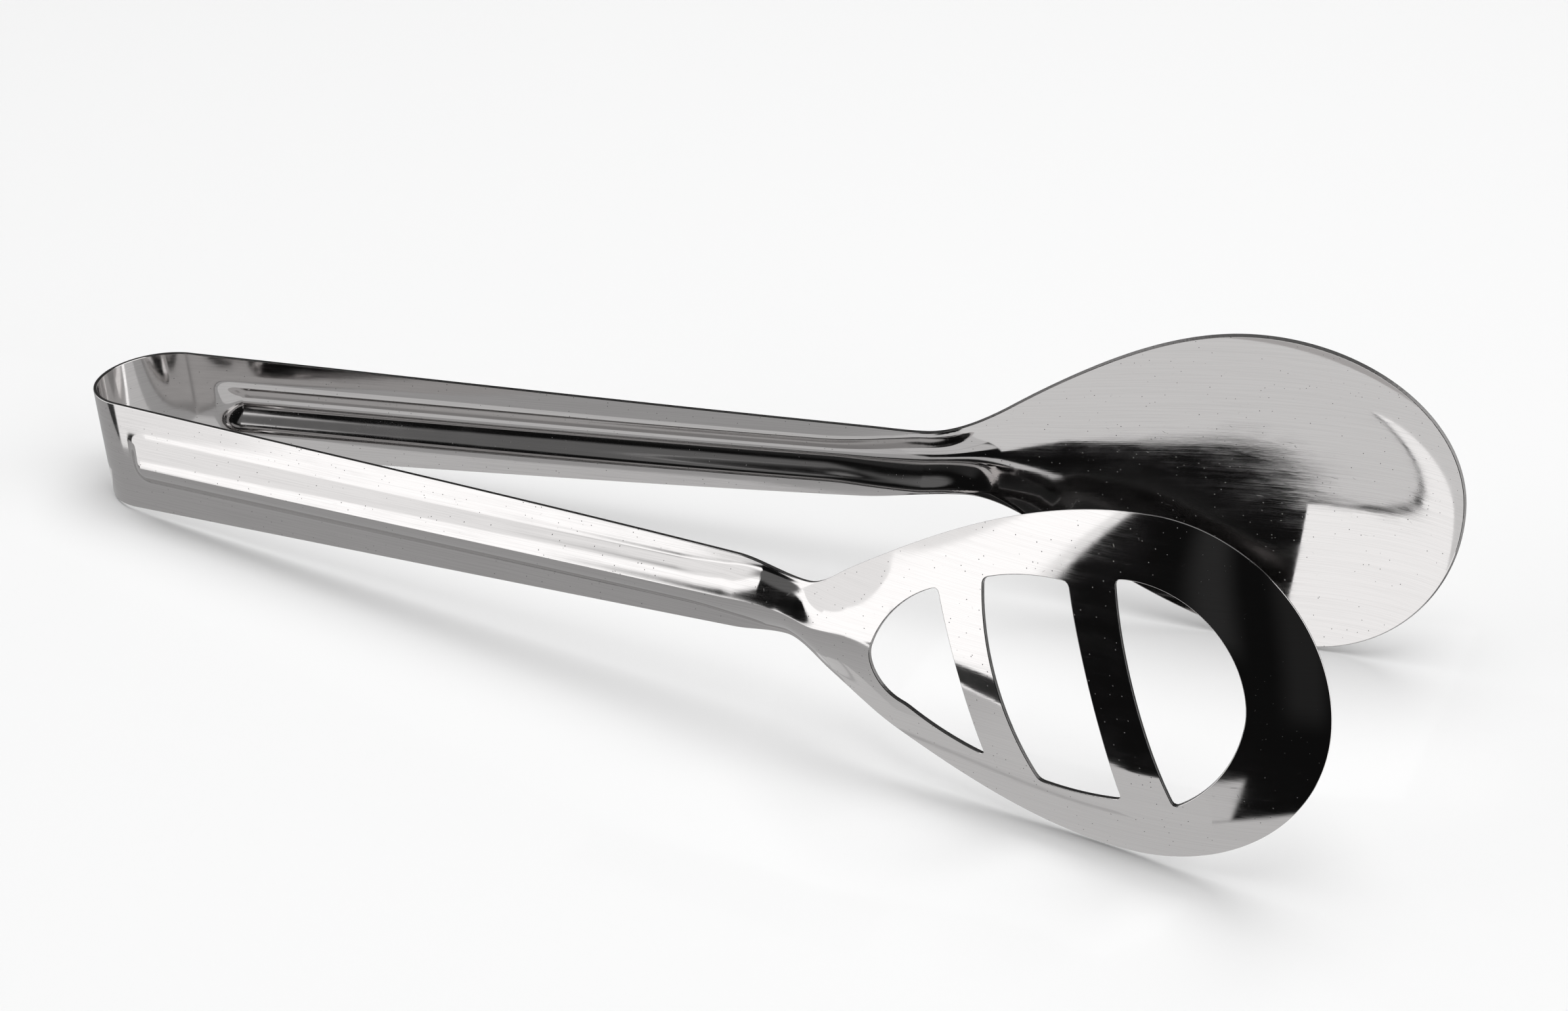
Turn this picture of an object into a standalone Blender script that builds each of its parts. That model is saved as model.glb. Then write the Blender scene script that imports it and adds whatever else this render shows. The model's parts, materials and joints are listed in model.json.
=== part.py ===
"""One-piece serving tongs, bent from one stamped strip of stainless steel.

A flat spring bow joins two ribbed arms. The +Y arm ends in a dished bowl, the -Y arm in a dished,
slotted blade. Units are metres, +Z is up and +X runs from the bow to the heads. The tongs stand on
the lower edges of the strip, as they lie on a table.

Each side of the strip is described in its own flat coordinates: u runs along the arm from the end
of the bow, w across it (upwards), and a relief height stands outwards from that plane.
"""

from math import cos, pi, radians, sin

import bmesh
import bpy
import numpy as np
from mathutils import Matrix, Vector

# Driving dimensions, in metres and degrees.
SHEET = 0.0007  # thickness of the strip
JOIN_GAP = 0.0003  # clearance between neighbouring nodes of the strip
BOW_RADIUS = 0.011  # middle of the sheet
SPLAY_DEG = 5.64  # each arm's angle from the middle plane at rest
BAND_HALF = 0.0103  # half the width of the strip at the bow
REST_TILT_DEG = 4.97  # the heads are wider than the bow, so the tongs lie nose up

RIB_HEIGHT = 0.0028  # pressed rib of each arm, standing outwards
RIB_RISE = 0.0048  # length over which it rises
RIB_FLATNESS = 2.0  # 2 is a parabola, higher is a flatter crown
FLANGE = 0.0021  # flat strip beside the rib
NECK_FLANGE = 0.0008  # the same at the neck
FLANGE_NARROWS = (-0.022, -0.002)  # where it narrows, from the neck
RIB_FADES = (-0.003, 0.022)  # where the rib runs out into the head, from the neck
HEAD_FORMS = (-0.004, 0.018)  # where the head's step and dish come in, from the neck
NECK_REACH = 0.006  # half the width of the rib with its flanges, at the neck
CROWN_SPREAD = 0.4  # how fast the fading rib widens in the head

ARC_ROWS = 28
ARM_ROWS = 26
RISE_ROWS = 4  # rows over the rise of the rib
HEAD_ROWS = 34
TIP_TURN = pi - 0.06  # the last row stays short of the tip, where the edges would meet in a point
RIB_COLUMNS = 10
HEAD_COLUMNS = 18
EDGE_POINTS = 40  # points on each stretch of a long edge
CROWN_POINTS = 60  # points on its last stretch, round the head
CUTTER_HEIGHTS = (-0.01, 0.02)  # ends of the slot cutters, from the arm's plane
STEEL = (0.62, 0.61, 0.6)


class Side:
    """One arm with its head. Edge knots are (u, w, slope) in millimetres, w without its sign."""

    def __init__(self, sign, rib_start, neck, tip, step, lean_deg, dish, upper, lower):
        self.sign = sign  # +1 stands at +Y
        self.rib_start = rib_start / 1000  # where the rib starts to rise, past the bow
        self.neck = neck / 1000  # where the arm meets the head
        self.tip = tip / 1000
        self.step = step / 1000  # how far the head's rim stands out from the arm's plane
        self.lean = radians(lean_deg)  # twist of the head about its length, lower edge outwards
        self.dish = dish / 1000  # depth of the dished head below its rim
        self.upper = long_edge(upper, tip)
        self.lower = long_edge(lower, tip)
        self.crown_w = (upper[-1][1] + lower[-1][1]) / 2000  # half the width of the head

    def edges_at(self, u):
        """The w of the lower and of the upper edge."""
        return -np.interp(u, *self.lower.T), np.interp(u, *self.upper.T)


def long_edge(knots, tip):
    """One long edge as points (u, w) in metres: Hermite curves through the knots, then a quarter ellipse."""
    points = []
    for (u0, w0, s0), (u1, w1, s1) in zip(knots, knots[1:]):
        t = np.linspace(0, 1, EDGE_POINTS, endpoint=False)
        run = u1 - u0
        w = (
            w0 * (1 - 3 * t**2 + 2 * t**3)
            + w1 * (3 * t**2 - 2 * t**3)
            + run * s0 * (t - 2 * t**2 + t**3)
            + run * s1 * (t**3 - t**2)
        )
        points.append(np.stack([u0 + run * t, w], axis=1))
    crown_u, crown_w, _ = knots[-1]
    angle = np.linspace(0, pi / 2, CROWN_POINTS)
    points.append(np.stack([crown_u + (tip - crown_u) * np.sin(angle), crown_w * np.cos(angle)], axis=1))
    return np.concatenate(points) / 1000


BOWL_SIDE = Side(
    sign=1, rib_start=3.8, neck=143.5, tip=230, step=1.2, lean_deg=0, dish=6.5,
    upper=[(0, 10.3, -0.028), (130, 6.7, -0.02), (140.5, 6.5, 0.03), (156, 12.4, 0.62), (196, 27.9, 0)],
    lower=[(0, 10.3, -0.028), (128, 6.8, -0.04), (147, 5.0, 0.02), (160, 10.4, 0.62), (205, 28.7, 0)],
)
BLADE_SIDE = Side(
    sign=-1, rib_start=1.2, neck=139, tip=226.4, step=2.0, lean_deg=5, dish=4.5,
    upper=[(0, 10.3, -0.028), (128, 6.8, -0.04), (140.5, 4.6, 0.02), (149, 9.2, 0.62), (199, 27.5, 0)],
    lower=[(0, 10.3, -0.028), (126, 6.8, -0.03), (136, 5.9, 0.05), (144, 10.0, 0.5), (196, 27.5, 0)],
)

# The blade's slots, in the blade's (u, w) millimetres. Each side of a slot is an arc through three points.
SLOTS = {
    "neck": [
        [(165.0, 10.3), (157.0, 4.4), (153.0, -3.0)],
        [(153.0, -3.0), (154.5, -8.0), (159.0, -10.9)],
        [(159.0, -10.9), (165.6, -13.9), (173.0, -15.9)],
        [(173.0, -15.9), (168.4, -1.0), (165.0, 10.3)],
    ],
    "middle": [
        [(172.7, 13.6), (179.3, 15.6), (186.8, 16.2)],
        [(172.7, 13.6), (175.3, -1.8), (182.2, -17.6)],
        [(182.2, -17.6), (189.0, -17.8), (196.0, -17.1)],
        [(196.0, -17.1), (190.9, 0.6), (186.8, 16.2)],
    ],
    "tip": [
        [(194.1, 18.1), (208.6, 14.2), (214.8, 0.8)],
        [(214.8, 0.8), (211.9, -8.3), (204.2, -16.4)],
        [(204.2, -16.4), (198.2, 0.4), (194.1, 18.1)],
    ],
}
SLOT_CORNER = 0.9  # how far from a corner its rounding starts, in millimetres


def smooth_step(x, start, end):
    t = np.clip((x - start) / (end - start), 0, 1)
    return t * t * (3 - 2 * t)


def ramp_at_neck(side, u, stretch):
    """0 before a stretch of the arm and 1 past it. The stretch is given from the neck."""
    return smooth_step(u, side.neck + stretch[0], side.neck + stretch[1])


def flange_width(side, u):
    return FLANGE + (NECK_FLANGE - FLANGE) * ramp_at_neck(side, u, FLANGE_NARROWS)


def relief(side, u, w):
    """Height of the sheet outwards from the arm's plane: the rib, then the head's dish."""
    bottom, top = side.edges_at(u)
    past_neck = np.maximum(u - side.neck, 0)
    half = np.minimum((top - bottom) / 2, NECK_REACH + CROWN_SPREAD * past_neck) - flange_width(side, u)
    across = np.clip(np.abs((w - (top + bottom) / 2) / half), 0, 1)
    along = smooth_step(u, side.rib_start, side.rib_start + RIB_RISE) * (1 - ramp_at_neck(side, u, RIB_FADES))
    rib = RIB_HEIGHT * along * (1 - across**RIB_FLATNESS)
    inside = np.clip((top - w) * (w - bottom) / side.crown_w**2, 0, 1)
    bowl = side.dish * inside * (1.5 - 0.5 * inside)
    return rib + ramp_at_neck(side, u, HEAD_FORMS) * (side.step + bowl - w * np.tan(side.lean))


def place(side, u, w, height):
    """A point of one side in the tongs' own frame: the origin is the bow's centre and Z is the bow's axis."""
    splay = radians(SPLAY_DEG)
    x = -BOW_RADIUS * sin(splay) + u * cos(splay) - height * sin(splay)
    y = BOW_RADIUS * cos(splay) + u * sin(splay) + height * cos(splay)
    return np.stack([x, side.sign * y, w], axis=-1)


def across_arm(side, u):
    """The w of each column at u: both edges, both creases, and columns between."""
    bottom, top = side.edges_at(u)
    flange = flange_width(side, u)
    share = (1 - np.cos(np.linspace(0, pi, RIB_COLUMNS + 1))) / 2
    return np.concatenate([[bottom], bottom + flange + (top - bottom - 2 * flange) * share, [top]])


def across_head(side, u):
    """The w of each column at u, evenly spaced between the edges."""
    return np.linspace(*side.edges_at(u), HEAD_COLUMNS + 1)


def grid_of(side, rows, columns_at):
    """Middle surface of the sheet as rows of points."""
    return np.array([place(side, u, w, relief(side, u, w)) for u in rows for w in [columns_at(side, u)]])


def bow_grid():
    """The bow's middle surface, from the end of the +Y arm round to the end of the -Y arm."""
    splay = radians(SPLAY_DEG)
    angles = np.linspace(pi / 2 + splay, 3 * pi / 2 - splay, ARC_ROWS + 1)
    columns = np.linspace(-BAND_HALF, BAND_HALF, 3)
    return np.array([[(BOW_RADIUS * cos(a), BOW_RADIUS * sin(a), w) for w in columns] for a in angles])


def steel(name):
    material = bpy.data.materials.new(name)
    material.use_nodes = True
    shader = material.node_tree.nodes["Principled BSDF"]
    shader.inputs["Base Color"].default_value = (*STEEL, 1)
    shader.inputs["Metallic"].default_value = 1
    shader.inputs["Roughness"].default_value = 0.18
    return material


def add_object(name, mesh, stance):
    obj = bpy.data.objects.new(name, mesh)
    bpy.context.collection.objects.link(obj)
    obj.parent = stance
    mesh.materials.append(steel(name + "_steel"))
    return obj


def add_sheet(name, grid, stance):
    """A solid sheet of constant thickness with the grid as its middle surface."""
    rows, columns = grid.shape[:2]
    work = bmesh.new()
    verts = [[work.verts.new(point) for point in row] for row in grid]
    for i in range(rows - 1):
        for j in range(columns - 1):
            work.faces.new((verts[i][j], verts[i + 1][j], verts[i + 1][j + 1], verts[i][j + 1]))
    bmesh.ops.recalc_face_normals(work, faces=work.faces)
    mesh = bpy.data.meshes.new(name)
    work.to_mesh(mesh)
    work.free()
    mesh.shade_smooth()
    obj = add_object(name, mesh, stance)
    shell = obj.modifiers.new("thickness", "SOLIDIFY")
    shell.thickness = SHEET
    shell.offset = 0
    shell.use_even_offset = True
    return obj


def arc_through(start, middle, end, count=9):
    """Points on the circle through three points, with both ends."""
    (ax, ay), (bx, by), (cx, cy) = start, middle, end
    d = 2 * (ax * (by - cy) + bx * (cy - ay) + cx * (ay - by))
    ux = ((ax**2 + ay**2) * (by - cy) + (bx**2 + by**2) * (cy - ay) + (cx**2 + cy**2) * (ay - by)) / d
    uy = ((ax**2 + ay**2) * (cx - bx) + (bx**2 + by**2) * (ax - cx) + (cx**2 + cy**2) * (bx - ax)) / d
    centre = Vector((ux, uy))
    radius = (Vector(start) - centre).length
    first = np.arctan2(ay - uy, ax - ux)
    turn = (np.arctan2(cy - uy, cx - ux) - first + pi) % (2 * pi) - pi
    return [
        (ux + radius * cos(first + turn * t), uy + radius * sin(first + turn * t))
        for t in np.linspace(0, 1, count)
    ]


def slot_loop(sides):
    """The closed outline of a slot in millimetres, with its corners cut round."""
    loop = []
    corner = sides[-1][-1]
    for start, middle, end in sides:
        if start != corner:
            start, end = end, start
        arc = arc_through(start, middle, end)
        first = Vector(arc[0]).lerp(Vector(arc[1]), SLOT_CORNER / (Vector(arc[1]) - Vector(arc[0])).length)
        last = Vector(arc[-1]).lerp(Vector(arc[-2]), SLOT_CORNER / (Vector(arc[-2]) - Vector(arc[-1])).length)
        loop += [tuple(first), *arc[1:-1], tuple(last)]
        corner = end
    return loop


def add_slot_cutter(name, sides, stance):
    """A prism through the blade, square to the arm's plane."""
    loop = np.array(slot_loop(sides)) / 1000
    area = np.sum(loop[:, 0] * np.roll(loop[:, 1], -1) - loop[:, 1] * np.roll(loop[:, 0], -1))
    loop = loop if area > 0 else loop[::-1]
    near, far = (place(BLADE_SIDE, loop[:, 0], loop[:, 1], height) for height in CUTTER_HEIGHTS)
    work = bmesh.new()
    low = [work.verts.new(point) for point in near]
    high = [work.verts.new(point) for point in far]
    work.faces.new(low)
    work.faces.new(high[::-1])
    for i in range(len(low)):
        k = (i + 1) % len(low)
        work.faces.new((low[k], low[i], high[i], high[k]))
    bmesh.ops.recalc_face_normals(work, faces=work.faces)
    mesh = bpy.data.meshes.new(name)
    work.to_mesh(mesh)
    work.free()
    obj = add_object(name, mesh, stance)
    obj.hide_render = True
    obj.display_type = "WIRE"
    return obj


def add_side(side, arm_name, head_name, stance):
    arm_rows = np.linspace(JOIN_GAP, side.neck - JOIN_GAP / 2, ARM_ROWS + 1)
    rise = np.linspace(side.rib_start, side.rib_start + RIB_RISE, RISE_ROWS)
    arm = add_sheet(arm_name, grid_of(side, np.unique(np.concatenate([arm_rows, rise])), across_arm), stance)
    turn = np.linspace(0, TIP_TURN, HEAD_ROWS + 1)
    start = side.neck + JOIN_GAP / 2
    head_rows = start + (side.tip - start) * (1 - np.cos(turn)) / 2
    head = add_sheet(head_name, grid_of(side, head_rows, across_head), stance)
    return arm, head


def stand_on_ground(stance, objects):
    """Tilts the tongs to lie on the heads' and the bow's lower edges, and centres their box on the origin."""
    stance.rotation_euler = (0, -radians(REST_TILT_DEG), 0)
    tilt = Matrix.Rotation(-radians(REST_TILT_DEG), 3, "Y")
    bpy.context.view_layer.update()
    graph = bpy.context.evaluated_depsgraph_get()
    points = [tilt @ v.co for obj in objects for v in obj.evaluated_get(graph).data.vertices]
    low = [min(p[i] for p in points) for i in range(3)]
    high = [max(p[i] for p in points) for i in range(3)]
    stance.location = (-(low[0] + high[0]) / 2, -(low[1] + high[1]) / 2, -low[2])


def main():
    for obj in list(bpy.data.objects):
        bpy.data.objects.remove(obj)
    # The stance empty stands at the bow's centre, on the axis that both arms turn about.
    stance = bpy.data.objects.new("stance", None)
    bpy.context.collection.objects.link(stance)
    bow = add_sheet("spring_bow", bow_grid(), stance)
    bowl_arm, bowl = add_side(BOWL_SIDE, "bowl_arm", "spoon_bowl", stance)
    blade_arm, blade = add_side(BLADE_SIDE, "blade_arm", "slotted_blade", stance)
    for place_name, sides in SLOTS.items():
        cut = blade.modifiers.new("slot_" + place_name, "BOOLEAN")
        cut.object = add_slot_cutter("cutter_" + place_name, sides, stance)
        cut.operation = "DIFFERENCE"
        cut.solver = "EXACT"
    stand_on_ground(stance, [bow, bowl_arm, bowl, blade_arm, blade])


main()
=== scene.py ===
"""Looks of the one-piece serving tongs: the strip with its rounded edges in brushed steel, and the studio.

The strip is built again at a fine pitch, to the same dimensions as the CAD solids that it stands for. Along
the strip, u is 0 where the bow meets an arm, negative on the bow and positive towards the head, and w runs
across it, upwards. A relief height stands outwards from the arm's plane. Units are metres where nothing else
is said.
"""

import json
from math import atan2, cos, pi, radians, sin, sqrt, tan

import bpy
import numpy as np
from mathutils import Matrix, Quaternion, Vector
from mathutils.geometry import delaunay_2d_cdt


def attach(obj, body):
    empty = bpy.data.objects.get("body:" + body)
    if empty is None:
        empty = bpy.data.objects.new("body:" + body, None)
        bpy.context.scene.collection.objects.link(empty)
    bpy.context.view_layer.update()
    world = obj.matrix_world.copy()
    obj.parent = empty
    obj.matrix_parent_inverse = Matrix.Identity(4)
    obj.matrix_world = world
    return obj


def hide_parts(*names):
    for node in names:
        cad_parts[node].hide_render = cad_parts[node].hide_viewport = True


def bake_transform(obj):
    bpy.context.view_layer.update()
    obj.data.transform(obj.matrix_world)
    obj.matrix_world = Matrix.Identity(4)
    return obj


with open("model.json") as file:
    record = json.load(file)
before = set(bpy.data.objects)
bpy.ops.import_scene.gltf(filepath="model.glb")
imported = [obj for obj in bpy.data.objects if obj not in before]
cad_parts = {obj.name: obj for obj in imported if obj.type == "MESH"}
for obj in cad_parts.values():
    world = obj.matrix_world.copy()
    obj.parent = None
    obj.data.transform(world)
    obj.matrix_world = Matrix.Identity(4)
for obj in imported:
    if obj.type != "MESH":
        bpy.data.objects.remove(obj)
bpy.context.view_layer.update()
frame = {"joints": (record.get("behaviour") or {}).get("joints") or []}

# The strip, as in the CAD.
SHEET = 0.0007
BOW_RADIUS = 0.011
SPLAY = radians(5.64)
RIB_HEIGHT = 0.0028
RIB_RISE = 0.0048
RIB_FLATNESS = 2.0
FLANGE = 0.0021
NECK_FLANGE = 0.0008
CROWN_SPREAD = 0.4
NECK_REACH = 0.006

# Where along the strip these happen, measured from the neck towards the head.
FLANGE_NARROWS = (-0.022, -0.002)
RIB_FADES = (-0.003, 0.022)
HEAD_FORMS = (-0.004, 0.018)

# What the CAD leaves out.
EDGE_ROUND = 0.00014  # radius of the strip's worn edges
CREASE_SOFTNESS = (0.26, 0.09)  # share of the rib's height that its crease's rounding takes, first and last
CREASE_SHARPENS = (0.04, 0.125)  # where along an arm it goes from the first to the last

# How finely the strip is built.
ROUND_STEPS = 3
BOW_ROWS = 44
RISE_ROWS = 30  # rows up to the rib's full height
RISE_MARGIN = 0.001
ARM_ROWS = 300
CROWN_COLUMNS = 29
CROWN_TURN = radians(68)  # the rib's columns are spaced like points on an arc of this half angle
CROWN_SHARE = 0.9  # of the rib's width that they cover
CREASE_COLUMNS = np.array([0.935, 0.96, 0.98, 1.0, 1.02, 1.045])  # shares of the rib's half width
FLANGE_COLUMNS = 4
EDGE_POINTS = 300
OUTLINE_PITCH = 0.0005
CORNER_POINTS = 9
HEAD_PITCH = 0.0008
HEAD_MARGIN = 0.002  # how far the head's lattice starts outside it
NECK_PITCH = 0.00045
NECK_ZONE = 0.026  # length of the head that needs the finer pitch
CLEARANCE = 0.6 * OUTLINE_PITCH  # between the lattice and an outline

BOW_ARC = BOW_RADIUS * (pi / 2 - SPLAY)  # from the end of an arm to the middle of the bow

hinge = next(j for j in frame["joints"] if j["name"] == "blade_side_squeeze")
BOW_CENTRE = np.array(hinge["pos_m"])
UP = np.array(hinge["axis"]) / np.linalg.norm(hinge["axis"])
ACROSS = np.array([0.0, 1.0, 0.0])
ALONG = np.cross(ACROSS, UP)


class Side:
    """One arm with its head. Edge knots are (u, w, slope) in millimetres, w without its sign."""

    def __init__(self, name, sign, rib_start, neck, tip, step, lean_deg, dish, upper, lower):
        self.name = name
        self.sign = sign  # +1 stands at +Y
        self.rib_start = rib_start / 1000
        self.neck = neck / 1000
        self.tip = tip / 1000
        self.step = step / 1000
        self.slant = tan(radians(lean_deg))
        self.dish = dish / 1000
        self.knots = {"upper": upper, "lower": lower}
        self.crown_w = (upper[-1][1] + lower[-1][1]) / 2000

    def edge(self, which, u):
        """Distance of one long edge from the centre line.

        It follows Hermite curves through the knots, then a quarter ellipse round the tip.
        """
        knots = self.knots[which]
        along = np.asarray(u, float) * 1000
        w = np.full(along.shape, knots[0][1])
        for (u0, w0, s0), (u1, w1, s1) in zip(knots, knots[1:]):
            run = u1 - u0
            t = np.clip((along - u0) / run, 0, 1)
            curve = (
                w0 * (1 - 3 * t**2 + 2 * t**3)
                + w1 * (3 * t**2 - 2 * t**3)
                + run * s0 * (t - 2 * t**2 + t**3)
                + run * s1 * (t**3 - t**2)
            )
            w = np.where(along > u0, curve, w)
        crown_u, crown_w, _ = knots[-1]
        past = np.clip((along - crown_u) / (self.tip * 1000 - crown_u), 0, 1)
        return np.where(along > crown_u, crown_w * np.sqrt(1 - past**2), w) / 1000

    def top(self, u):
        return self.edge("upper", u)

    def bottom(self, u):
        return -self.edge("lower", u)


BOWL_SIDE = Side(
    "bowl_side", sign=1, rib_start=3.8, neck=143.5, tip=230, step=1.2, lean_deg=0, dish=6.5,
    upper=[(0, 10.3, -0.028), (130, 6.7, -0.02), (140.5, 6.5, 0.03), (156, 12.4, 0.62), (196, 27.9, 0)],
    lower=[(0, 10.3, -0.028), (128, 6.8, -0.04), (147, 5.0, 0.02), (160, 10.4, 0.62), (205, 28.7, 0)],
)
BLADE_SIDE = Side(
    "blade_side", sign=-1, rib_start=1.2, neck=139, tip=226.4, step=2.0, lean_deg=5, dish=4.5,
    upper=[(0, 10.3, -0.028), (128, 6.8, -0.04), (140.5, 4.6, 0.02), (149, 9.2, 0.62), (199, 27.5, 0)],
    lower=[(0, 10.3, -0.028), (126, 6.8, -0.03), (136, 5.9, 0.05), (144, 10.0, 0.5), (196, 27.5, 0)],
)

# The blade's slots, in (u, w) millimetres. Each side of a slot is an arc through three points.
SLOTS = [
    [
        [(165.0, 10.3), (157.0, 4.4), (153.0, -3.0)],
        [(153.0, -3.0), (154.5, -8.0), (159.0, -10.9)],
        [(159.0, -10.9), (165.6, -13.9), (173.0, -15.9)],
        [(173.0, -15.9), (168.4, -1.0), (165.0, 10.3)],
    ],
    [
        [(172.7, 13.6), (175.3, -1.8), (182.2, -17.6)],
        [(182.2, -17.6), (189.0, -17.8), (196.0, -17.1)],
        [(196.0, -17.1), (190.9, 0.6), (186.8, 16.2)],
        [(186.8, 16.2), (179.3, 15.6), (172.7, 13.6)],
    ],
    [
        [(204.2, -16.4), (211.9, -8.3), (214.8, 0.8)],
        [(214.8, 0.8), (208.6, 14.2), (194.1, 18.1)],
        [(194.1, 18.1), (198.2, 0.4), (204.2, -16.4)],
    ],
]
SLOT_CORNER = 0.0009  # how far from a corner its rounding starts


def smooth_step(x, start, end):
    t = np.clip((x - start) / (end - start), 0, 1)
    return t * t * (3 - 2 * t)


# --- the strip's middle surface -------------------------------------------------------------------


def flange_width(side, u):
    return FLANGE + (NECK_FLANGE - FLANGE) * smooth_step(u - side.neck, *FLANGE_NARROWS)


def rib_reach(side, u):
    """Half the width of the pressed rib."""
    half = (side.top(u) - side.bottom(u)) / 2
    return np.minimum(half, NECK_REACH + CROWN_SPREAD * np.maximum(u - side.neck, 0)) - flange_width(side, u)


def relief(side, u, w):
    """Height of the sheet outwards from the arm's plane: the rib, then the head's dish."""
    top, bottom = side.top(u), side.bottom(u)
    across = np.abs(w - (top + bottom) / 2) / rib_reach(side, u)
    first, last = CREASE_SOFTNESS
    soft = first + (last - first) * smooth_step(u, *CREASE_SHARPENS)
    crown = soft * np.logaddexp(0, (1 - across**RIB_FLATNESS) / soft)
    rise = smooth_step(u, side.rib_start, side.rib_start + RIB_RISE)
    fade = smooth_step(u - side.neck, *RIB_FADES)
    head = smooth_step(u - side.neck, *HEAD_FORMS)
    inside = np.clip((top - w) * (w - bottom) / side.crown_w**2, 0, 1)
    bowl = side.dish * inside * (1.5 - 0.5 * inside)
    return RIB_HEIGHT * rise * (1 - fade) * crown + head * (side.step + bowl - w * side.slant)


def middle(side, u, w):
    """Points of the sheet's middle surface, in the row frame."""
    height = relief(side, u, w)
    turn = SPLAY + np.maximum(-u, 0) / BOW_RADIUS
    run = np.maximum(u, 0)
    x = -(BOW_RADIUS + height) * np.sin(turn) + run * cos(SPLAY)
    y = side.sign * ((BOW_RADIUS + height) * np.cos(turn) + run * sin(SPLAY))
    return BOW_CENTRE + x[..., None] * ALONG + y[..., None] * ACROSS + w[..., None] * UP


def unit(vectors):
    return vectors / np.linalg.norm(vectors, axis=-1, keepdims=True)


def slopes(side, u, w, step=2e-6):
    """How the middle surface runs along u and along w."""
    along = middle(side, u + step, w) - middle(side, u - step, w)
    across = middle(side, u, w + step) - middle(side, u, w - step)
    return along / (2 * step), across / (2 * step)


# --- flat patterns of the pieces, in (u, w) -------------------------------------------------------


class Pattern:
    """A piece of the flat strip: points, faces and the chains of points along its rims and its seams.

    Faces turn left, and so do the chains, so the sheet lies on the left of each. A rim is a free edge, with
    its direction at each point. A seam is where the next piece of the strip goes on.
    """

    def __init__(self, points, faces, rims, seams):
        self.points = np.array(points, float)
        self.faces = faces
        self.rims = rims  # (indices, directions, closed)
        self.seams = seams  # indices


def edge_direction(side, which, u, step=1e-6):
    edge = side.top if which == "top" else side.bottom
    rise = (edge(u + step) - edge(u - step)) / (2 * step)
    direction = unit(np.stack([np.ones_like(rise), rise], axis=-1))
    return -direction if which == "top" else direction


def columns(side, u):
    """The w of each column at one u: close together on the flanges and the creases, wider over the rib."""
    top = side.top(u) - EDGE_ROUND
    bottom = side.bottom(u) + EDGE_ROUND
    centre = (side.top(u) + side.bottom(u)) / 2
    reach = rib_reach(side, u)
    spread = np.sin(np.linspace(-1, 1, CROWN_COLUMNS) * CROWN_TURN) / sin(CROWN_TURN)
    crown = reach * spread * CROWN_SHARE
    crease = reach * CREASE_COLUMNS
    last = centre + crease[-1]
    first = centre - crease[-1]
    shares = np.linspace(0, 1, FLANGE_COLUMNS + 1)
    upper_flange = last + (top - last) * shares[1:]
    lower_flange = bottom + (first - bottom) * shares[:-1]
    rib = [centre - crease[::-1], centre + crown, centre + crease]
    return np.concatenate([lower_flange, *rib, upper_flange])


def strip_pattern(side, rows):
    """A stretch of the bow or of an arm, as a grid with columns along the creases."""
    across = [columns(side, np.float64(u)) for u in rows]
    count = len(across[0])
    points = [(u, w) for u, ws in zip(rows, across) for w in ws]
    faces = [
        (i * count + j, (i + 1) * count + j, (i + 1) * count + j + 1, i * count + j + 1)
        for i in range(len(rows) - 1)
        for j in range(count - 1)
    ]
    low = [i * count for i in range(len(rows))]
    high = [i * count + count - 1 for i in range(len(rows))][::-1]
    rims = [
        (low, edge_direction(side, "bottom", rows), False),
        (high, edge_direction(side, "top", rows[::-1]), False),
    ]
    first = list(range(count))[::-1]
    last = [(len(rows) - 1) * count + j for j in range(count)]
    return Pattern(points, faces, rims, [first, last])


def arc_through(start, between, end, count=40):
    """Points on the circle through three points, with both ends."""
    a, b, c = (complex(*p) for p in (start, between, end))
    d = (b - a) * (c - a).conjugate()
    centre = a + (abs(b - a) ** 2 * (c - a) - abs(c - a) ** 2 * (b - a)) / (d.conjugate() - d)
    ratio = (c - centre) / (a - centre)
    turn = atan2(ratio.imag, ratio.real)
    angles = np.linspace(0, turn, count)
    ring = centre + (a - centre) * np.exp(1j * angles)
    return np.stack([ring.real, ring.imag], axis=1)


def resample(points, pitch, closed):
    """The same line with evenly spaced points. A closed line doesn't repeat its first point."""
    if closed:
        points = np.vstack([points, points[:1]])
    run = np.concatenate([[0], np.cumsum(np.linalg.norm(np.diff(points, axis=0), axis=1))])
    count = int(round(run[-1] / pitch))
    at = np.linspace(0, run[-1], count + 1)
    line = np.stack([np.interp(at, run, points[:, k]) for k in (0, 1)], axis=1)
    return line[:-1] if closed else line


def directions(line, closed):
    if closed:
        return unit(np.roll(line, -1, axis=0) - np.roll(line, 1, axis=0))
    return unit(np.gradient(line, axis=0))


def to_the_left(line, direction, distance):
    return line + distance * np.stack([-direction[:, 1], direction[:, 0]], axis=1)


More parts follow.
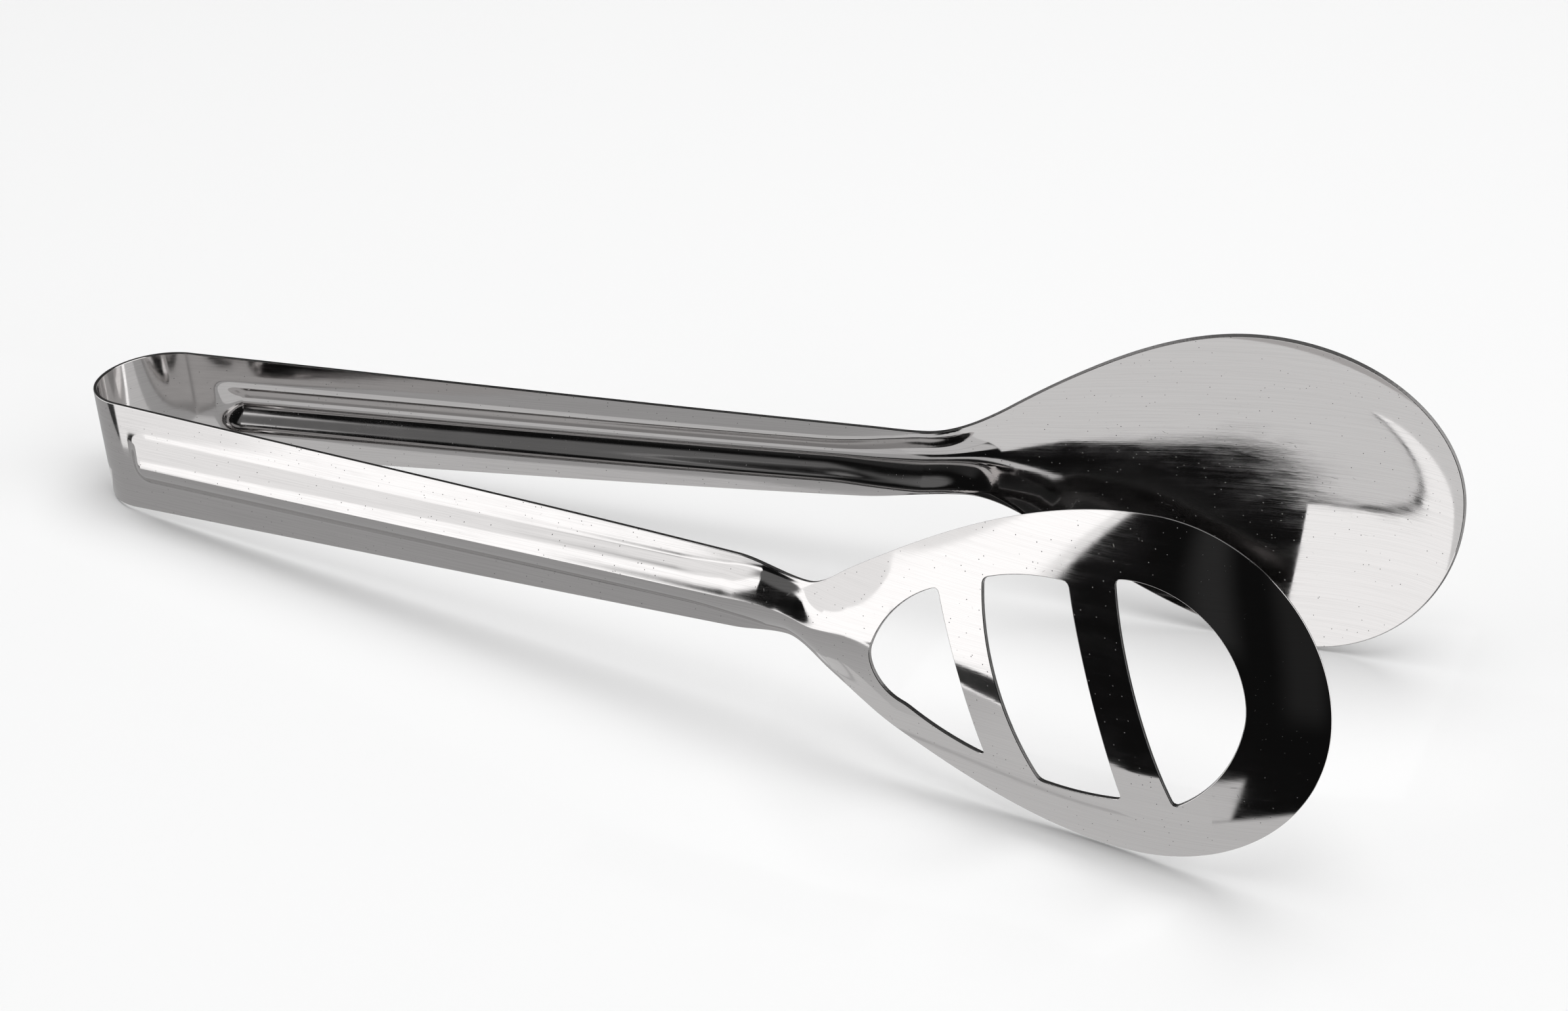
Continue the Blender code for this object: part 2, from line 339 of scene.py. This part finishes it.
def slot_outline(sides):
    """The outline of a slot with rounded corners, turning right, so that the sheet lies on its left."""
    arcs = [arc_through(*(np.array(p) / 1000 for p in side)) for side in sides]
    line = []
    for before, after in zip(arcs, arcs[1:] + arcs[:1]):
        corner = before[-1]
        kept = before[np.linalg.norm(before - corner, axis=1) > SLOT_CORNER]
        kept = kept[np.linalg.norm(kept - before[0], axis=1) > SLOT_CORNER]
        start = corner + unit(kept[-1] - corner) * SLOT_CORNER
        follows = after[np.linalg.norm(after - corner, axis=1) > SLOT_CORNER][0]
        end = corner + unit(follows - corner) * SLOT_CORNER
        t = np.linspace(0, 1, CORNER_POINTS)[:, None]
        line += [kept, (1 - t) ** 2 * start + 2 * t * (1 - t) * corner + t**2 * end]
    line = resample(np.concatenate(line), OUTLINE_PITCH, closed=True)
    area = np.sum(line[:, 0] * np.roll(line[:, 1], -1) - line[:, 1] * np.roll(line[:, 0], -1))
    return line if area < 0 else line[::-1]


def head_outline(side):
    """The free edge of a head, from the neck along the lower edge, round the tip and back along the upper."""
    lines = []
    for which, edge in (("lower", side.bottom), ("upper", side.top)):
        crown = side.knots[which][-1][0] / 1000
        quarter = crown + (side.tip - crown) * np.sin(np.linspace(0, pi / 2, EDGE_POINTS))
        u = np.concatenate([np.linspace(side.neck, crown, EDGE_POINTS)[:-1], quarter])
        lines.append(np.stack([u, edge(u)], axis=1))
    return resample(np.vstack([lines[0], lines[1][-2::-1]]), OUTLINE_PITCH, closed=False)


def inside_loop(points, loop):
    """True for the points inside a closed line, by counting its crossings."""
    inside = np.zeros(len(points), bool)
    x, y = points[:, 0], points[:, 1]
    for (x0, y0), (x1, y1) in zip(loop, np.roll(loop, -1, axis=0)):
        if y0 != y1:
            crosses = ((y0 > y) != (y1 > y)) & (x < x0 + (y - y0) * (x1 - x0) / (y1 - y0))
            inside ^= crosses
    return inside


def lattice(side, loops):
    """Points over the head in staggered rows, finer near the neck and clear of the loops."""
    found = []
    top, bottom = side.crown_w + HEAD_MARGIN, -side.crown_w - HEAD_MARGIN
    for start, end, pitch in (
        (side.neck, side.neck + NECK_ZONE, NECK_PITCH),
        (side.neck + NECK_ZONE, side.tip, HEAD_PITCH),
    ):
        for k, u in enumerate(np.arange(start + pitch / 2, end, pitch * sqrt(3) / 2)):
            w = np.arange(bottom + (k % 2) * pitch / 2, top, pitch)
            found.append(np.stack([np.full(len(w), u), w], axis=1))
    points = np.concatenate(found)
    keep = inside_loop(points, loops[0])
    for loop in loops[1:]:
        keep &= ~inside_loop(points, loop)
    points = points[keep]
    edges = np.concatenate(loops)
    clear = [np.linalg.norm(edges - p, axis=1).min() > CLEARANCE for p in points]
    return points[clear]


INSIDE_EDGES = 1  # makes delaunay_2d_cdt keep the triangles inside the outermost edges
MERGE_MM = 1e-7


def head_pattern(side, slots):
    """A head with its slots, as a net of triangles that starts at the arm's last row."""
    seam_w = columns(side, np.float64(side.neck))
    outline = head_outline(side)
    way = directions(outline, closed=False)
    way[0] = edge_direction(side, "bottom", np.float64(side.neck))
    way[-1] = edge_direction(side, "top", np.float64(side.neck))
    rim = to_the_left(outline, way, EDGE_ROUND)
    rim[0] = (side.neck, seam_w[0])
    rim[-1] = (side.neck, seam_w[-1])
    seam = np.stack([np.full(len(seam_w), side.neck), seam_w], axis=1)[::-1]
    outer = np.vstack([rim, seam[1:-1]])
    holes = []
    for slot in slots:
        line = slot_outline(slot)
        holes.append((to_the_left(line, directions(line, True), EDGE_ROUND), directions(line, True)))
    loops = [outer] + [hole for hole, _ in holes]
    points = np.vstack([*loops, lattice(side, loops)])
    edges, start = [], 0
    chains = []
    for loop in loops:
        chain = list(range(start, start + len(loop)))
        edges += list(zip(chain, chain[1:] + chain[:1]))
        chains.append(chain)
        start += len(loop)
    net = delaunay_2d_cdt([Vector(p) for p in points * 1000], edges, [], INSIDE_EDGES, MERGE_MM)
    flat = np.array([tuple(p) for p in net[0]]) / 1000
    new_index = {old: new for new, olds in enumerate(net[3]) for old in olds}
    faces = [tuple(face) for face in net[2]]
    centres = np.array([flat[list(face)].mean(axis=0) for face in faces])
    dropped = np.zeros(len(faces), bool)
    for loop in loops[1:]:
        dropped |= inside_loop(centres, loop)
    faces = [face for face, out in zip(faces, dropped) if not out]
    chains = [[new_index[i] for i in chain] for chain in chains]
    rims = [(chains[0][: len(rim)], way, False)]
    rims += [(chain, way_round, True) for chain, (_, way_round) in zip(chains[1:], holes)]
    seams = [chains[0][len(rim) - 1 :] + chains[0][:1]]
    return Pattern(flat, faces, rims, seams)


# --- from a flat pattern to a closed sheet --------------------------------------------------------


def sheet_piece(name, side, pattern):
    """The pattern on the strip's middle surface, as a closed sheet with rounded free edges.

    Its "strip" attribute is the place on the flat strip in millimetres: along it from the middle of the bow,
    across it, and through its thickness.
    """
    u, w = pattern.points.T
    along, across = slopes(side, u, w)
    normal = unit(np.cross(along, across))
    centre = middle(side, u, w)
    on_strip = np.stack([side.sign * (u + BOW_ARC), w, np.zeros(len(u))], axis=1)
    through = np.array([0, 0, SHEET / 2])
    places = [centre + normal * SHEET / 2, centre - normal * SHEET / 2]
    normals = [normal, -normal]
    strips = [on_strip + through, on_strip - through]
    count = len(u)
    faces = [tuple(face) for face in pattern.faces]
    faces += [tuple(i + count for i in reversed(face)) for face in pattern.faces]
    total = 2 * count
    ring_of = {}
    quarter = np.linspace(0, pi / 2, ROUND_STEPS + 1)[1:]
    profile = [(t, 1) for t in quarter] + [(t, -1) for t in quarter[::-1]]
    for chain, way, closed in pattern.rims:
        chain = np.array(chain)
        forward = unit(along[chain] * way[:, :1] + across[chain] * way[:, 1:])
        outward = np.cross(forward, normal[chain])
        rings = [chain]
        for turn, face_side in profile:
            lift = face_side * (SHEET / 2 - EDGE_ROUND * (1 - cos(turn)))
            places.append(centre[chain] + outward * EDGE_ROUND * sin(turn) + normal[chain] * lift)
            normals.append(outward * sin(turn) + normal[chain] * face_side * cos(turn))
            strips.append(on_strip[chain] + np.array([0, 0, lift]))
            rings.append(np.arange(total, total + len(chain)))
            total += len(chain)
        rings.append(chain + count)
        rings = np.array(rings)
        for k, index in enumerate(chain):
            ring_of[index] = [int(i) for i in rings[:, k]]
        ends = range(len(chain)) if closed else range(len(chain) - 1)
        for k in ends:
            n = (k + 1) % len(chain)
            for upper, lower in zip(rings, rings[1:]):
                faces.append((int(upper[k]), int(lower[k]), int(lower[n]), int(upper[n])))
    for seam in pattern.seams:
        for a, b in zip(seam, seam[1:]):
            faces.append((a, a + count, b + count, b))
        faces.append(tuple(ring_of[seam[0]]))
        faces.append(tuple(ring_of[seam[-1]][::-1]))
    mesh = bpy.data.meshes.new(name)
    mesh.from_pydata(np.concatenate(places).tolist(), [], faces)
    mesh.shade_smooth()
    mesh.normals_split_custom_set_from_vertices(np.concatenate(normals).tolist())
    strip = mesh.attributes.new("strip", "FLOAT_VECTOR", "POINT")
    strip.data.foreach_set("vector", (np.concatenate(strips) * 1000).astype(np.float32).ravel())
    piece = bpy.data.objects.new(name, mesh)
    bpy.context.scene.collection.objects.link(piece)
    return piece


# --- materials ------------------------------------------------------------------------------------

STEEL = (0.64, 0.625, 0.62)
CUT_DEPTH = (0.25, 0.33)  # from the sheet's middle, in millimetres: a cut edge inside, a rolled face outside

# Grain of the streaks: how often the noise changes in a millimetre, along and across the strip.
FINE_GRAIN = (0.07, 8.0)
BROAD_GRAIN = (0.02, 1.3)
CLOUD_GRAIN = (0.12, 0.3)
SHEAR_GRAIN = (2.2, 0.6)

SCRATCH_WIDTH = (0.03, 0.06)  # in cells, from the scratch's core to its edge
SCRATCHES = [(38, 1.3, 9), (-63, 1.0, 7), (8, 1.1, 14)]  # (degrees, cells in a millimetre, length to width)
PIT_SCALE = 0.9  # cells in a millimetre
PIT_WIDTH = (0.05, 0.09)


class Graph:
    """Short calls that add shader nodes to a tree and give back their outputs."""

    def __init__(self, tree):
        self.tree = tree

    def node(self, kind, settings=None, **inputs):
        made = self.tree.nodes.new("ShaderNode" + kind)
        for key, value in (settings or {}).items():
            setattr(made, key, value)
        for key, value in inputs.items():
            self.put(made.inputs[key.replace("_", " ")], value)
        return made

    def put(self, socket, value):
        if isinstance(value, bpy.types.NodeSocket):
            self.tree.links.new(value, socket)
        else:
            socket.default_value = value

    def math(self, operation, *values):
        made = self.tree.nodes.new("ShaderNodeMath")
        made.operation = operation
        for socket, value in zip(made.inputs, values):
            self.put(socket, value)
        return made.outputs[0]

    def ramp(self, value, start, end, low=0.0, high=1.0):
        """Smoothly from low at start to high at end."""
        made = self.node("MapRange", {"interpolation_type": "SMOOTHSTEP"}, Value=value)
        for key, number in (("From Min", start), ("From Max", end), ("To Min", low), ("To Max", high)):
            made.inputs[key].default_value = number
        return made.outputs["Result"]

    def mix(self, share, low, high):
        rest = self.math("MULTIPLY", self.math("SUBTRACT", 1, share), low)
        return self.math("ADD", self.math("MULTIPLY", share, high), rest)


def streaks(graph, place, along, across, detail=3.0):
    """Noise drawn out along the strip: its grain is 1/along by 1/across millimetres."""
    stretched = graph.node("VectorMath", {"operation": "MULTIPLY"})
    graph.put(stretched.inputs[0], place)
    stretched.inputs[1].default_value = (along, across, 1)
    noise = graph.node("TexNoise", Vector=stretched.outputs[0], Scale=1.0, Detail=detail, Roughness=0.6)
    return noise.outputs["Fac"]


def scratches(graph, place, angle, density, length):
    """Sparse fine scratches that run at an angle to the strip: 1 on a scratch, 0 elsewhere."""
    turned = graph.node("VectorRotate", {"rotation_type": "Z_AXIS"}, Vector=place, Angle=radians(angle))
    bent = graph.node("VectorMath", {"operation": "MULTIPLY"})
    graph.put(bent.inputs[0], turned.outputs[0])
    bent.inputs[1].default_value = (density / length, density, 1)
    cells = graph.node("TexVoronoi", {"feature": "F1"}, Vector=bent.outputs[0], Scale=1.0, Randomness=1.0)
    return graph.ramp(cells.outputs["Distance"], *SCRATCH_WIDTH, 1, 0)


def steel(name, brushing=1.0, roughness=0.075):
    """Polished stainless steel with fine brushing along the strip, pits, scratches and sheared edges."""
    material = bpy.data.materials.new(name)
    material.use_nodes = True
    graph = Graph(material.node_tree)
    shader = material.node_tree.nodes["Principled BSDF"]
    place = graph.node("Attribute", {"attribute_name": "strip"}).outputs["Vector"]
    depth = graph.node("SeparateXYZ", Vector=place).outputs["Z"]
    on_cut = graph.ramp(graph.math("ABSOLUTE", depth), *CUT_DEPTH, 1, 0)

    fine = streaks(graph, place, *FINE_GRAIN, detail=4.0)
    broad = streaks(graph, place, *BROAD_GRAIN)
    cloud = streaks(graph, place, *CLOUD_GRAIN)
    sheared = graph.math("MULTIPLY", on_cut, streaks(graph, place, *SHEAR_GRAIN, detail=5.0))
    cells = graph.node("TexVoronoi", {"feature": "F1"}, Vector=place, Scale=PIT_SCALE, Randomness=1.0)
    pits = graph.ramp(cells.outputs["Distance"], *PIT_WIDTH, 1, 0)
    scratched = 0.0
    for angle, density, length in SCRATCHES:
        scratched = graph.math("MAXIMUM", scratched, scratches(graph, place, angle, density, length))
    scratched = graph.math("MULTIPLY", scratched, graph.ramp(cloud, 0.42, 0.62))

    # How much of its brightness each mark takes away.
    tone = 1.0
    for mark, loss in (
        (graph.ramp(fine, 0.35, 0.75), 0.10 * brushing),
        (pits, 0.75),
        (scratched, 0.12),
        (on_cut, 0.6),
    ):
        tone = graph.math("SUBTRACT", tone, graph.math("MULTIPLY", mark, loss))
    color = graph.node("VectorMath", {"operation": "SCALE"})
    color.inputs[0].default_value = STEEL
    graph.put(color.inputs["Scale"], tone)
    graph.put(shader.inputs["Base Color"], color.outputs[0])
    shader.inputs["Metallic"].default_value = 1

    # How much roughness each mark adds.
    rough = roughness - 0.03 * brushing
    for mark, gain in (
        (graph.ramp(fine, 0.3, 0.7), 0.05 * brushing),
        (graph.ramp(cloud, 0.35, 0.65), 0.035),
        (scratched, 0.12),
        (pits, 0.35),
        (on_cut, 0.28),
    ):
        rough = graph.math("MULTIPLY_ADD", mark, gain, rough)
    graph.put(shader.inputs["Roughness"], rough)

    # How far each mark stands out, in millimetres.
    height = 0.0
    for mark, rise in (
        (fine, 0.0008 * brushing),
        (broad, 0.0014 * brushing),
        (cloud, 0.005),
        (pits, -0.006),
        (scratched, -0.0012),
        (sheared, 0.06),
    ):
        height = graph.math("MULTIPLY_ADD", mark, rise, height)
    bump = graph.node("Bump", Height=height, Strength=1.0, Distance=0.001)  # a height of 1 is a millimetre
    graph.put(shader.inputs["Normal"], bump.outputs[0])
    return material


# --- the pieces -----------------------------------------------------------------------------------


def arm_rows(side):
    """Where an arm's rows are, closer together where the rib rises."""
    rise = np.linspace(0, side.rib_start + RIB_RISE + RISE_MARGIN, RISE_ROWS)
    return np.concatenate([rise, np.linspace(rise[-1], side.neck, ARM_ROWS)[1:]])


def make_side(side, bow_name, arm_name, head_name, slots, finishes):
    bow = sheet_piece(bow_name, side, strip_pattern(side, np.linspace(-BOW_ARC, 0, BOW_ROWS)))
    arm = sheet_piece(arm_name, side, strip_pattern(side, arm_rows(side)))
    head = sheet_piece(head_name, side, head_pattern(side, slots))
    for piece, finish in zip((bow, arm, head), finishes):
        piece.data.materials.append(finish)
    return bow, arm, head


def bend_bow(piece, side):
    """The bow half stays as built, with its placement baked into its mesh; where its ends lie is worked out
    but not used.
    """
    ends = middle(side, np.array([-BOW_ARC, 0.0]), np.zeros(2))
    tuple(ends[0])
    tuple(ends[1])
    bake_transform(piece)


bow_steel = steel("bow_steel")
arm_steel = steel("arm_steel")
bowl_steel = steel("bowl_steel", brushing=0.8, roughness=0.05)
blade_steel = steel("blade_steel", brushing=0.7, roughness=0.05)

bowl_bow, bowl_arm, bowl = make_side(
    BOWL_SIDE, "bow_bowl_half", "bowl_arm_strip", "spoon_bowl_shell",
    slots=[], finishes=(bow_steel, arm_steel, bowl_steel),
)
blade_bow, blade_arm, blade = make_side(
    BLADE_SIDE, "bow_blade_half", "blade_arm_strip", "slotted_blade_shell",
    slots=SLOTS, finishes=(bow_steel, arm_steel, blade_steel),
)
bend_bow(bowl_bow, BOWL_SIDE)
bend_bow(blade_bow, BLADE_SIDE)
for piece, body, node, finish in (
    (bowl_bow, None, "spring_bow", "bow_steel"),
    (blade_bow, None, "spring_bow", "bow_steel"),
    (bowl_arm, "bowl_side", "bowl_arm", "arm_steel"),
    (blade_arm, "blade_side", "blade_arm", "arm_steel"),
    (bowl, "bowl_side", "spoon_bowl", "bowl_steel"),
    (blade, "blade_side", "slotted_blade", "blade_steel"),
):
    if body:
        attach(piece, body)
    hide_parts(node)

# --- studio ---------------------------------------------------------------------------------------

CAMERA_PLACE = Vector((0.1803, -0.3760, 0.2597))
CAMERA_AZIMUTH = radians(23.73)  # to the left of +Y
CAMERA_DROP = radians(29.80)  # below the horizon
CAMERA_ROLL = radians(0.47)
LENS_MM = 65.96
SENSOR_MM = 36
FLOOR_REACH = 3
FLOOR_COLOR = (0.86, 0.86, 0.86, 1)
FLOOR_ROUGHNESS = 0.7

# Cards on the floor, as outlines seen from above: a grey one under the arms and the blade, a paler one between
# the arms, a dark one before the grey, and a pale one under the bowl. Their places and tones, and the world's
# below, were set to put the steel's reflections in place at rest, seen from the camera.
CARDS = [
    ("board_card", (0.42, 0.70), [
        (-0.200, 0.030), (-0.200, -0.018), (-0.135, -0.026), (-0.110, -0.030), (0.008, -0.060),
        (0.050, -0.062), (0.078, -0.0585), (0.092, -0.061), (0.098, -0.052), (0.100, -0.043),
        (0.050, -0.043), (0.025, -0.034), (0.022, -0.0165), (0.022, -0.006), (-0.124, -0.006),
        (-0.124, 0.030),
    ]),
    ("arm_card", (0.66, 0.50), [(-0.124, -0.006), (0.022, -0.006), (0.022, 0.015), (-0.124, 0.010)]),
    ("edge_card", (0.02, 0.02), [(0.012, -0.0625), (0.012, -0.071), (0.060, -0.076), (0.060, -0.0625)]),
    ("bowl_card", (0.85, 0.85), [
        (0.040, -0.0165), (0.080, -0.0168), (0.087, -0.0156), (0.096, -0.0145), (0.122, -0.005),
        (0.122, 0.050), (0.040, 0.035),
    ]),
]
TONE_X = (0.0, 0.06)  # where a card's tone goes from its first value to its second

# Upright cards between the heads, as (x, z) outlines at one y. They stand for nothing real: they make the
# bright patch in the bowl and the dark line over it.
FILL_OUTLINE = [(0.0925, 0.001), (0.140, 0.001), (0.140, 0.0160), (0.0925, 0.0160)]
UPRIGHT_CARDS = [
    ("fill_card", 1.3, 0.0200, FILL_OUTLINE),
    ("fill_back", 0.01, 0.0195, FILL_OUTLINE),
    ("streak_card", 0.12, 0.0200, [(0.0955, 0.0160), (0.140, 0.0160), (0.140, 0.0168), (0.0985, 0.0166)]),
]


def make_camera():
    camera = bpy.data.objects.new("camera", bpy.data.cameras.new("camera"))
    bpy.context.scene.collection.objects.link(camera)
    camera.data.sensor_width = SENSOR_MM
    camera.data.lens = LENS_MM
    camera.data.clip_start = 0.01
    looking = Vector((
        -sin(CAMERA_AZIMUTH) * cos(CAMERA_DROP), cos(CAMERA_AZIMUTH) * cos(CAMERA_DROP), -sin(CAMERA_DROP)
    ))
    camera.location = CAMERA_PLACE
    camera.rotation_mode = "QUATERNION"
    camera.rotation_quaternion = looking.to_track_quat("-Z", "Y") @ Quaternion((0, 0, 1), CAMERA_ROLL)
    bpy.context.scene.camera = camera


def paint(name, roughness):
    material = bpy.data.materials.new(name)
    material.use_nodes = True
    material.node_tree.nodes["Principled BSDF"].inputs["Roughness"].default_value = roughness
    return material


def make_floor():
    """A wide pale floor. The steel doesn't mirror it: the cards and the world stand for it there."""
    mesh = bpy.data.meshes.new("floor")
    corners = [(x, y, 0) for x, y in ((-1, -1), (1, -1), (1, 1), (-1, 1))]
    mesh.from_pydata([(x * FLOOR_REACH, y * FLOOR_REACH, z) for x, y, z in corners], [], [(0, 1, 2, 3)])
    floor = bpy.data.objects.new("floor", mesh)
    bpy.context.scene.collection.objects.link(floor)
    floor.visible_glossy = False
    floor.visible_shadow = False
    pale = paint("floor_paint", FLOOR_ROUGHNESS)
    pale.node_tree.nodes["Principled BSDF"].inputs["Base Color"].default_value = FLOOR_COLOR
    mesh.materials.append(pale)


def add_card(name, tones, outline):
    """A flat glowing card that only reflections show."""
    glow = paint(name, 1.0)
    shader = glow.node_tree.nodes["Principled BSDF"]
    shader.inputs["Base Color"].default_value = (0, 0, 0, 1)
    shader.inputs["Emission Color"].default_value = (1, 1, 1, 1)
    graph = Graph(glow.node_tree)
    place = graph.node("SeparateXYZ", Vector=graph.node("TexCoord").outputs["Object"])
    graph.put(shader.inputs["Emission Strength"], graph.ramp(place.outputs["X"], *TONE_X, *tones))
    mesh = bpy.data.meshes.new(name)
    mesh.from_pydata(outline, [], [tuple(range(len(outline)))])
    mesh.materials.append(glow)
    card = bpy.data.objects.new(name, mesh)
    bpy.context.scene.collection.objects.link(card)
    card.visible_camera = False
    card.visible_diffuse = False
    card.visible_shadow = False


def add_softbox(name, place, target, size, power):
    """A soft light for the floor, out of the steel's reflections."""
    light = bpy.data.objects.new(name, bpy.data.lights.new(name, "AREA"))
    bpy.context.scene.collection.objects.link(light)
    light.data.shape = "RECTANGLE"
    light.data.size, light.data.size_y = size
    light.data.energy = power
    light.visible_glossy = False
    light.location = place
    light.rotation_mode = "QUATERNION"
    light.rotation_quaternion = (Vector(target) - Vector(place)).to_track_quat("-Z", "Y")


# The world's zones: (middle azimuth, half width, lowest and highest elevation, softness, brightness), in
# degrees, each over the ones before it. Azimuth 0 is +Y and 90 is +X. They aren't a measured room.
SURROUNDINGS = [
    (-111, 34, -40, 54, 1, 1.2),  # bright, facing the blade side's arm
    (-138, 5, -40, 54, 1, 1.6),  # its brightest stretch
    (-63, 14, -40, 54, 6, 0.5),  # its dim end, past the bow
    (-113, 14, -36, -18, 4, 0.04),  # a dark band low in it
    (95, 35, -50, 50, 4, 1.5),  # bright, past the heads
    (-10, 14, -60, 30, 6, 0.5),  # dim, behind the tongs
    (0, 180, 62, 90, 4, 0.4),  # overhead
    (-168, 5, -10, 28, 8, 0.03),  # two faint ones on the camera's side
    (165, 8, -20, 22, 10, 0.02),
    (-142, 14, 38, 56, 8, 0.15),  # shade at the top of the brightest stretch
    (0, 180, -90, -52, 3, 0.7),  # below, where there is no card
    (-75, 102, -52, -37, 2, 0.7),  # below and farther out, on the bow's side
]
DARK = 0.006  # brightness of all the rest


def make_world():
    world = bpy.data.worlds.new("studio")
    world.use_nodes = True
    graph = Graph(world.node_tree)
    direction = graph.node("TexCoord").outputs["Generated"]
    apart = graph.node("SeparateXYZ", Vector=direction)
    elevation = graph.math("DEGREES", graph.math("ARCSINE", apart.outputs["Z"]))
    level = DARK
    for azimuth, half, low, high, soft, bright in SURROUNDINGS:
        about_z = {"rotation_type": "Z_AXIS"}
        turned = graph.node("VectorRotate", about_z, Vector=direction, Angle=radians(azimuth))
        across = graph.node("SeparateXYZ", Vector=turned.outputs[0])
        heading = graph.math("ARCTAN2", across.outputs["X"], across.outputs["Y"])
        off = graph.math("ABSOLUTE", graph.math("DEGREES", heading))
        over_low = graph.ramp(elevation, low - soft / 2, low + soft / 2)
        under_high = graph.ramp(elevation, high - soft / 2, high + soft / 2, 1, 0)
        share = graph.math("MULTIPLY", over_low, under_high)
        if half < 180:
            within = graph.ramp(off, half - soft / 2, half + soft / 2, 1, 0)
            share = graph.math("MULTIPLY", share, within)
        level = graph.mix(share, level, bright)
    background = world.node_tree.nodes["Background"]
    world.node_tree.links.new(level, background.inputs["Strength"])
    background.inputs["Color"].default_value = (1, 1, 1, 1)
    bpy.context.scene.world = world


make_camera()
make_floor()
for name, tones, outline in CARDS:
    add_card(name, tones, [(x, y, 0) for x, y in outline])
for name, tone, y, outline in UPRIGHT_CARDS:
    add_card(name, (tone, tone), [(x, y, z) for x, z in outline])
make_world()
add_softbox("overhead", place=(0.1, 0.1, 1.5), target=(0, 0, 0), size=(1.6, 1.6), power=22)
bpy.context.scene.view_settings.view_transform = "Standard"
